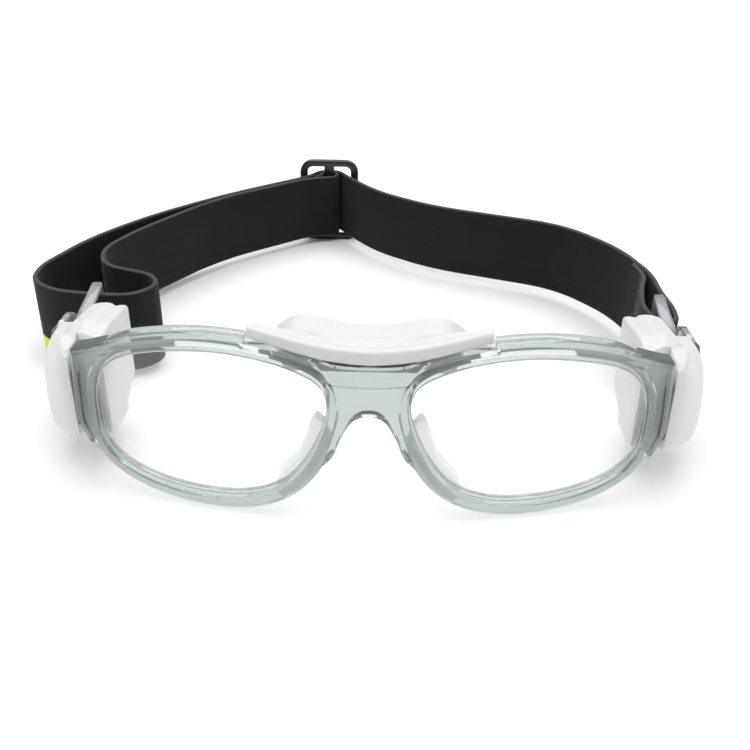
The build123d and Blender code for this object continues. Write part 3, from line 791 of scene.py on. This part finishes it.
def strap_section():
    """The strap's section as (sideways, up) from its middle line, with rounded edges."""
    half, t = STRAP_WIDTH / 2, STRAP_THICKNESS / 2
    edge = [
        (0.74, 12.0), (0.62, 12.25), (0.40, 12.42), (0.0, half), (-0.40, 12.42), (-0.62, 12.25),
        (-0.74, 12.0),
    ]
    side = [(-t, z) for z in np.linspace(11.2, -11.2, 12)]
    under = [(-s, -z) for s, z in edge]
    back = [(t, z) for z in np.linspace(-11.2, 11.2, 12)]
    return np.array(edge + side + under + back)


def strap_part(name, path, first, last, open_ends=True):
    """One run of the strap. An end that meets the next run is open; a sewn end is closed."""
    along = np.gradient(path, axis=0)
    along /= np.linalg.norm(along, axis=1)[:, None]
    side = np.stack([-along[:, 1], along[:, 0]], axis=1)
    section = strap_section()
    middle = STRAP_LOW_Z + STRAP_WIDTH / 2
    step = np.concatenate([[0], np.cumsum(np.linalg.norm(np.diff(path, axis=0), axis=1))])
    rings = []
    for i in range(first, last + 1):
        rings.append([(*(path[i] + side[i] * s), middle + z) for s, z in section])
    count, around = len(rings), len(section)
    # Faces along both edges, and a sewn end, get the lighter edge material: painted light where the
    # strap's edges face the lamps.
    faces, edge_light_slots, places = [], [], []
    for i in range(count - 1):
        for j in range(around):
            k = (j + 1) % around
            faces.append((i * around + j, (i + 1) * around + j, (i + 1) * around + k, i * around + k))
            edge_light_slots.append(1 if min(abs(section[j][1]), abs(section[k][1])) > 11.9 else 0)
            u0, u1 = step[first + i], step[first + i + 1]
            v0, v1 = section[j][1], section[k][1]
            places.append(((u0, v0), (u1, v0), (u1, v1), (u0, v1)))
    if not open_ends:
        end = 0 if first == 0 else (count - 1) * around
        order = range(around) if first else reversed(range(around))
        faces.append(tuple(end + j for j in order))
        edge_light_slots.append(1)
        places.append(tuple((0, section[j][1]) for j in range(around)))
    points = np.array(rings).reshape(-1, 3) * MM
    mesh = bpy.data.meshes.new(name)
    mesh.from_pydata([tuple(p) for p in points], [], faces)
    layer = mesh.uv_layers.new(name="UVMap")
    flat = [c for face in places for c in face]
    layer.data.foreach_set("uv", np.array(flat, float).reshape(-1))
    mesh.materials.append(WEBBING)
    mesh.materials.append(PAINTED_EDGE_LIGHT)
    mesh.polygons.foreach_set("material_index", edge_light_slots)
    mesh.shade_smooth()
    mesh.set_sharp_from_angle(angle=math.radians(50))
    mesh.update()
    piece = link_object(name, mesh)
    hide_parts("head_strap")
    return piece


def nearest(path, point, after=0):
    """The index of the path's sample closest to the point."""
    return after + int(np.argmin(np.linalg.norm(path[after:] - np.array(point), axis=1)))


def head_strap():
    """Five runs of the strap, cut from one path at the given points."""
    path = arc_path(LEFT_STRAND + SLIDER_WEAVE + OUTER_STRAND + INNER_STRAND)
    last = len(path) - 1
    a = nearest(path, (64.0, 132.0))
    b = nearest(path, (-22.3, 194.5))
    c = nearest(path, (-59.8, 160.3), b)
    d = nearest(path, (-57.2, 159.5), c + 100)
    left = strap_part("strap_left_loop", path, 0, a, open_ends=False)
    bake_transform(left)
    back = strap_part("strap_back", path, a, b)
    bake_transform(back)
    run = strap_part("strap_outer_run", path, b, c)
    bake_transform(run)
    loop = strap_part("strap_right_loop", path, c, d)
    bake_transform(loop)
    tail = strap_part("strap_inner_run", path, d, last, open_ends=False)
    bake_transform(tail)


# ---- Floor and light ----
def make_floor():
    bpy.ops.mesh.primitive_plane_add(size=6.0, location=(0, 0, 0))
    floor = bpy.context.object
    floor.name = "floor"
    material, tree, shader = node_material("floor")
    set_values(shader, Base_Color=(0.93, 0.93, 0.93, 1), Roughness=0.9)
    shader.inputs["Specular IOR Level"].default_value = 0.1
    floor.data.materials.append(material)


def area_light(name, place, aim, size, power):
    data = bpy.data.lights.new(name, "AREA")
    data.shape = "RECTANGLE"
    data.size, data.size_y = size
    data.energy = power
    light = bpy.data.objects.new(name, data)
    bpy.context.scene.collection.objects.link(light)
    light.location = place
    light.rotation_mode = "QUATERNION"
    light.rotation_quaternion = (Vector(aim) - Vector(place)).to_track_quat("-Z", "Y")


def make_light():
    centre = (0, 0.08, 0)
    area_light("overhead", (0, 0.15, 1.2), centre, (1.6, 1.6), 17)
    area_light("left_box", (-1.1, -0.3, 0.8), centre, (0.9, 0.9), 4.5)
    area_light("right_box", (1.1, -0.3, 0.8), centre, (0.9, 0.9), 4.5)
    area_light("far_box", (0, 2.2, 1.4), (0, 1.7, 0), (2.4, 1.2), 16)
    world = bpy.data.worlds.new("studio")
    bpy.context.scene.world = world
    world.use_nodes = True
    background = world.node_tree.nodes["Background"]
    background.inputs["Color"].default_value = (1, 1, 1, 1)
    background.inputs["Strength"].default_value = 0.3
    bpy.context.scene.view_settings.view_transform = "Standard"


def give(name, material):
    nodes[name].data.materials[0] = material


front_frame()
brow_pad()
nose_pads()
temple_pads()
buckles()
slider()
head_strap()
for side in ("left", "right"):
    give(f"lens_{side}", LENS_CLEAR)
    give(f"pivot_screw_{side}", STEEL)
    give(f"pivot_nut_{side}", STEEL)
    give(f"pivot_washer_{side}", NYLON)
give("woven_label", YELLOW)
give("left_end_stitches", THREAD)
give("slider_end_stitches", THREAD)
make_floor()
make_light()
